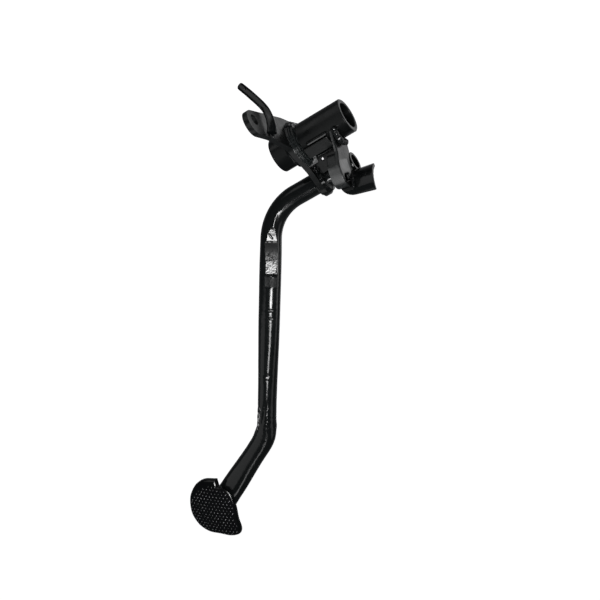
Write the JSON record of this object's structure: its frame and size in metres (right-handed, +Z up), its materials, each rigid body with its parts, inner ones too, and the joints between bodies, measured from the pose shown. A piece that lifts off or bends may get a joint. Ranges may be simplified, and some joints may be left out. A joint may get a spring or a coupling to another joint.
{
  "type": "motorcycle rear brake pedal",
  "caption": "Welded steel foot brake pedal: pivot tube, rod lever plate, bent arm tube, studded pad, stop bracket with saddle, spring hook and weld beads, painted gloss black.",
  "frame": {"origin": "on the flat inboard end of the pivot tube, 1.25 mm in from the tube's outer edge, straight above the pivot axis", "axes": "+X outboard along the pivot axis, out of the pivot tube's outboard end; +Y forward, the way the arm runs to the foot pad; +Z up, the way the foot stands on the pad"},
  "size_m": [0.2724, 0.2949, 0.0934],
  "materials": {
    "pivot_tube_paint": "gloss",
    "lever_plate_paint": "gloss",
    "arm_tube_paint": "gloss",
    "foot_pad_paint": "semi-gloss",
    "bracket_paint": "gloss",
    "hook_paint": "gloss",
    "weld_paint": "gloss"
  },
  "bodies": {
    "root": {"pivot_tube": "pivot_tube_paint", "lever_plate": "lever_plate_paint", "spring_hook": "hook_paint", "arm_tube": "arm_tube_paint", "foot_pad": "foot_pad_paint", "stop_bracket": "bracket_paint", "stop_saddle": "bracket_paint", "cross_gusset": "bracket_paint", "tie_plate": "bracket_paint", "weld_lever_inboard": "weld_paint", "weld_lever_outboard": "weld_paint", "weld_arm_inboard": "weld_paint", "weld_arm_outboard": "weld_paint", "weld_bracket_pivot": "weld_paint", "weld_bracket_arm": "weld_paint", "weld_bracket_saddle": "weld_paint", "weld_gusset": "weld_paint", "weld_tie_arm": "weld_paint", "weld_tie_lever": "weld_paint", "weld_tie_pivot": "weld_paint", "weld_hook": "weld_paint", "weld_pad": "weld_paint"}
  },
  "joints": []
}
